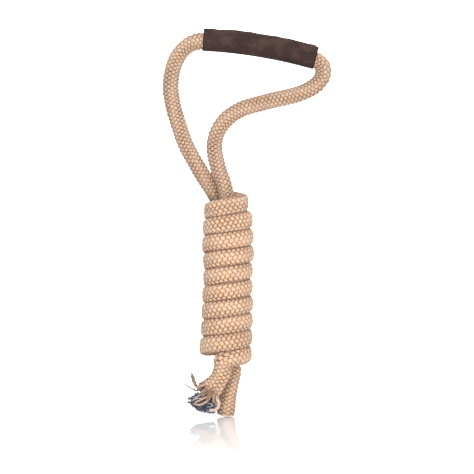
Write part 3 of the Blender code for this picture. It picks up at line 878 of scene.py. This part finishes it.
def make_loose_ends():
    """The cover's yarns from the place where the braid ends, splayed and broken off at different lengths."""
    end = ROPE.total - COVER_STOPS
    root = int(np.argmin(np.abs(ROPE.at - (end - 5 * MM))))
    mouth = int(np.argmin(np.abs(ROPE.at - end)))
    strands = []
    for k in range(LOOSE_YARNS):
        turn = 2 * math.pi * (k + 0.35 * RNG.random()) / LOOSE_YARNS
        layer = k % YARN_LAYERS
        thick = (1.55 + 0.40 * RNG.random() - 0.12 * layer) * MM
        inset = (1.0 + 1.3 * layer) * MM
        line = []
        for place, extra in ((root, 0.0), (mouth, 0.2)):
            spoke = math.cos(turn) * ROPE.side[place] + math.sin(turn) * ROPE.up[place]
            radius = rope_radius(np.array([place]))[0] - inset - 0.6 * MM + extra * MM
            line.append(ROPE.points[place] + radius * spoke)
        ahead = ROPE.tangents[-1]
        spoke = math.cos(turn) * ROPE.side[-1] + math.sin(turn) * ROPE.up[-1]
        reach = (8.0 + 3.5 * RNG.random()) * MM
        out = (0.62 - 0.20 * layer) * (0.7 + 0.6 * RNG.random())
        line.append(line[-1] + reach * 0.5 * unit(ahead + out * spoke + 0.12 * RNG.normal(size=3)))
        line.append(line[-1] + reach * 0.5 * unit(ahead + 0.2 * spoke + 0.35 * RNG.normal(size=3)))
        path = spaced(line, 16)
        taper = np.linspace(1, 0.72, len(path))
        strands += plied(path, thick * taper, YARN_PLIES, 9 * MM, 0.12 + 0.30 * RNG.random())
        for _ in range(YARN_WISPS):
            start = path[-2] + 0.5 * thick * RNG.normal(size=3)
            way = unit(path[-1] - path[-3] + 0.6 * MM * RNG.normal(size=3))
            tip = start + way * (1.0 + 2.6 * RNG.random()) * MM
            middle = 0.5 * (start + tip) + 0.2 * MM * RNG.normal(size=3)
            strands.append((spaced([start, middle, tip], 5), 0.16 * MM, 0.7))
    piece = strands_piece("cover_ends", strands, 6, MATERIALS["yarn"])
    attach(piece, "frayed_tail")


def tuft_point(local):
    """A point of the tuft's box in its own tilted axes, as a place in the frame."""
    tilt = math.radians(TUFT_TILT_DEG)
    x = local[0] * math.cos(tilt) + local[2] * math.sin(tilt)
    z = local[2] * math.cos(tilt) - local[0] * math.sin(tilt)
    return TUFT_CENTRE + np.array((x, local[1], z))


def make_tuft():
    """The core's dark fibres, spread and crushed into a brush, with two tufts at its left and one below."""
    root = ROPE.points[-1] + ROPE.tangents[-1] * -6 * MM
    strands = []
    for _ in range(TUFT_FIBRES):
        direction = unit(RNG.normal(size=3))
        tip = tuft_point(direction * TUFT_HALF * (0.72 + 0.28 * RNG.random()))
        middle = tuft_point(direction * TUFT_HALF * 0.4) + 1.6 * MM * RNG.normal(size=3)
        start = root + RNG.normal(size=3) * np.array((4.4, 4.0, 2.4)) * MM
        curl = RNG.normal(size=3) * 2.4 * MM
        points = [start, 0.5 * (start + middle) + 0.3 * curl, middle, 0.4 * middle + 0.6 * tip + curl, tip]
        line = spaced(points, 11)
        shade = float(np.clip(RNG.beta(2.0, 2.2), 0, 1))
        strands.append((line, (0.30 + 0.30 * RNG.random()) * MM * np.linspace(1, 0.75, 11), shade))
    for foot, tip in TUFT_SPURS:
        foot, tip = np.array(foot) * MM, np.array(tip) * MM
        for _ in range(SPUR_FIBRES):
            spread = RNG.normal(size=3) * MM
            line = spaced([foot + 0.6 * spread, 0.5 * (foot + tip) + 0.4 * spread, tip + 0.7 * spread], 7)
            strands.append((line, 0.32 * MM, 0.05 + 0.3 * RNG.random()))
    foot, tip = np.array(TUFT_LOW_END) * MM
    for _ in range(LOW_END_FIBRES):
        spread = RNG.normal(size=3) * LOW_END_SPREAD * MM
        far = foot + (tip - foot) * (0.75 + 0.3 * RNG.random()) + spread
        line = spaced([foot + spread, 0.5 * (foot + tip) + spread, far], 7)
        strands.append((line, 0.40 * MM, float(RNG.beta(2.0, 2.2))))
    piece = strands_piece("core_fibres", strands, 5, MATERIALS["core"])
    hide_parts("core_tuft", "frayed_tail_core")
    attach(piece, "frayed_tail")


def make_yarns():
    """The separate loose yarns at the frayed end."""
    for name, widths, shade, route in YARNS:
        line = spaced(millimetres(route), 40)
        width = np.interp(np.linspace(0, 1, len(line)), np.linspace(0, 1, len(widths)), widths) * MM
        piece = strands_piece(name, plied(line, width, 3, 14 * MM, shade), 8, MATERIALS["yarn"])
        if name in CAD_YARNS:
            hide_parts(CAD_YARNS[name])
        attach(piece, "frayed_tail")


# ---------------------------------------------------------------- the leather grip
def sleeve_middle(steps=64):
    """The folded strip's middle line as (across, up) points, from one sewn edge to the other."""
    radius, half_gap = SLEEVE_BORE + LEATHER / 2, SEAM_GAP / 2 + LEATHER / 2
    lift = math.asin(radius / SEAM_START)
    start = math.pi / 2 - lift
    flat = [(half_gap, SLEEVE_TOP - (SLEEVE_TOP - SEAM_START) * k / 6) for k in range(6)]
    arc = []
    for k in range(steps + 1):
        turn = start + (2 * math.pi - 2 * start) * k / steps
        arc.append((radius * math.sin(turn), radius * math.cos(turn)))
    joined = np.array(flat + arc + [(-a, u) for a, u in flat[::-1]])
    for _ in range(3):
        joined[1:-1] = 0.25 * joined[:-2] + 0.5 * joined[1:-1] + 0.25 * joined[2:]
    return joined


def make_sleeve():
    """The leather strip folded round the rope, with rounded edges, stitch dimples and a wavy top."""
    middle = sleeve_middle()
    along = unit(np.gradient(middle, axis=0))
    normal = np.stack([-along[:, 1], along[:, 0]], axis=1)
    count = len(middle)
    stations = SLEEVE_STATIONS
    share = np.linspace(0, 1, stations)
    x = SLEEVE_LENGTH * (share - 0.5)
    centre = np.array([tuple(grip_point(v)) for v in x])
    slope = GRIP_SLOPE + 2 * GRIP_BEND * x
    up = unit(np.stack([-slope, np.zeros(stations), np.ones(stations)], axis=1))
    flatness = np.clip((middle[:, 1] - 9.5 * MM) / (5.8 * MM), 0, 1)
    place, width, rise = SLEEVE_RISE
    wave = 0.35 * MM * wobble(x, 0.06, seed=21) + rise * MM * np.exp(-(((x - place) / width) ** 2))
    wave = wave - 0.9 * MM * (1 - share)
    for place, width, drop in SLEEVE_DIPS:
        wave = wave - drop * MM * np.exp(-(((x - place) / width) ** 2))
    puff = 0.25 * MM * wobble(x, 0.045, seed=23)[:, None] * np.cos(np.linspace(0, 5, count))[None]
    end = np.minimum(share, 1 - share) * SLEEVE_LENGTH
    pinch = 0.35 * MM * np.exp(-end / (2.0 * MM))
    phase = (x + SLEEVE_LENGTH / 2) / STITCH_PITCH
    hole = np.exp(-(((phase - np.round(phase)) * STITCH_PITCH / (0.55 * MM)) ** 2))
    row_dip = np.exp(-(((middle[:, 1] - STITCH_LINE) / (0.8 * MM)) ** 2))
    dip = 0.30 * MM * hole[:, None] * row_dip[None] + 0.10 * MM * row_dip[None]
    layers = []
    half = LEATHER / 2
    for side in (-1, 1):
        outer = side < 0
        push = (half + puff - (dip if outer else 0)) if outer else np.full((stations, count), -half)
        across = middle[None, :, 0] + push * -normal[None, :, 0]
        height = middle[None, :, 1] + push * -normal[None, :, 1] + wave[:, None] * flatness[None]
        shrink = 1 - (pinch[:, None] / (10 * MM) if outer else 0)
        sideways = np.array((0, 1.0, 0)) * (across * shrink)[..., None]
        layers.append(centre[:, None] + sideways + up[:, None] * height[..., None])
    outer, inner = layers
    ring = np.concatenate([outer, inner[:, ::-1]], axis=1)
    columns = ring.shape[1]
    edge = np.zeros((stations, columns))
    near_top = np.clip(1 - np.abs(middle[:, 1] - SLEEVE_TOP) / (1.1 * MM), 0, 1)
    edge[:, :count] = near_top[None]
    edge[:, count:] = 0.8
    edge[[0, 1, -2, -1]] = 1.0
    edge[:, :count] = np.maximum(edge[:, :count], np.exp(-end / (0.9 * MM))[:, None] * 0.9)
    verts = ring.reshape(-1, 3)
    faces = grid_faces(stations, columns).tolist()
    last = (stations - 1) * columns
    for j in range(count - 1):
        a, b, c, d = j, j + 1, columns - 1 - j, columns - 2 - j
        faces.append([b, a, c, d])
        faces.append([last + a, last + b, last + d, last + c])
    piece = mesh_piece("grip_leather", verts, faces, MATERIALS["leather"], True, {"edge": edge})
    rounding = piece.modifiers.new("rounding", "BEVEL")
    rounding.width = 0.32 * MM
    rounding.segments = 3
    rounding.limit_method = "ANGLE"
    rounding.angle_limit = math.radians(50)
    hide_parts("grip_sleeve")
    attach(piece, "handle")


def make_stitches():
    """The lockstitch on both faces of the seam, one short thread from each hole to the next."""
    stitches = int(SLEEVE_LENGTH / STITCH_PITCH)
    face = SEAM_GAP / 2 + LEATHER
    for name, side in (("seam_thread_front", -1), ("seam_thread_back", 1)):
        lines = []
        for k in range(1, stitches - 1):
            line = []
            for t in np.linspace(0, 1, 9):
                x = -SLEEVE_LENGTH / 2 + (k + 0.06 + 0.88 * t) * STITCH_PITCH
                slope = GRIP_SLOPE + 2 * GRIP_BEND * x
                up = Vector((-slope, 0, 1)).normalized()
                lift = face - 0.45 * MM + 0.75 * MM * math.sin(math.pi * t) ** 0.6
                tilt = 0.10 * MM * (0.5 - t)
                line.append(tuple(grip_point(x) + up * (STITCH_LINE + tilt) + Vector((0, side * lift, 0))))
            lines.append(np.array(line))
        strands = [(line, THREAD, 0.35 + 0.4 * RNG.random()) for line in lines]
        piece = strands_piece(name + "_stitches", strands, 8, MATERIALS["thread"])
        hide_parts(name)
        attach(piece, "handle")


# ---------------------------------------------------------------- floor, backdrop and lights
def make_stage():
    """A glossy white floor that curves up into a white backdrop."""
    floor_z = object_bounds()[0][2] - 0.05 * MM
    width, front, back, bend, tall, bend_steps = 4.0, -2.6, 1.3, 0.6, 2.6, 12
    line = [(front, floor_z), (back - bend, floor_z)]
    for k in range(1, bend_steps + 1):
        turn = math.pi / 2 * k / bend_steps
        line.append((back - bend + bend * math.sin(turn), floor_z + bend - bend * math.cos(turn)))
    line.append((back, floor_z + tall))
    verts = [(s * width / 2, y, z) for y, z in line for s in (-1, 1)]
    faces = [(2 * k, 2 * k + 1, 2 * k + 3, 2 * k + 2) for k in range(len(line) - 1)]
    made, tree, shader = nodes_of("studio_white")
    shader.inputs["Base Color"].default_value = (0.93, 0.93, 0.93, 1)
    shader.inputs["Roughness"].default_value = 0.05
    place = tree.nodes.new("ShaderNodeSeparateXYZ")
    link(tree, tree.nodes.new("ShaderNodeTexCoord").outputs["Object"], place.inputs[0])
    rise = maths(tree, "MULTIPLY", maths(tree, "SUBTRACT", place.outputs["Y"], 0.35), 2.0, True)
    gloss = maths(tree, "MULTIPLY", maths(tree, "ADD", place.outputs["Y"], 0.33), 1.6, True)
    link(tree, gloss, shader.inputs["Specular IOR Level"])
    shader.inputs["Emission Color"].default_value = (1, 1, 1, 1)
    link(tree, rise, shader.inputs["Emission Strength"])
    stage = mesh_piece("studio", verts, faces, made)


def area_light(name, place, target, size, power, colour=(1, 1, 1)):
    data = bpy.data.lights.new(name, "AREA")
    data.shape, data.size, data.energy, data.color = "DISK", size, power, colour
    lamp = bpy.data.objects.new(name, data)
    bpy.context.scene.collection.objects.link(lamp)
    lamp.location = place
    lamp.rotation_euler = (Vector(target) - Vector(place)).to_track_quat("-Z", "Y").to_euler()


def make_lights():
    middle = (-0.02, 0, -0.2)
    area_light("key", (-0.30, -1.75, 0.75), middle, 0.7, 24)
    area_light("fill", (0.75, -1.8, 0.15), middle, 0.8, 18)
    area_light("top", (0.0, -0.1, 1.5), middle, 1.0, 12)
    world = bpy.data.worlds.new("world")
    bpy.context.scene.world = world
    world.use_nodes = True
    world.node_tree.nodes["Background"].inputs["Color"].default_value = (1, 1, 1, 1)
    world.node_tree.nodes["Background"].inputs["Strength"].default_value = 0.30
    bpy.context.scene.view_settings.view_transform = "Standard"


make_camera()
make_loop()
make_winding()
make_cut_tail()
make_frayed_tail()
make_loose_ends()
make_tuft()
make_yarns()
make_sleeve()
make_stitches()
make_stage()
make_lights()
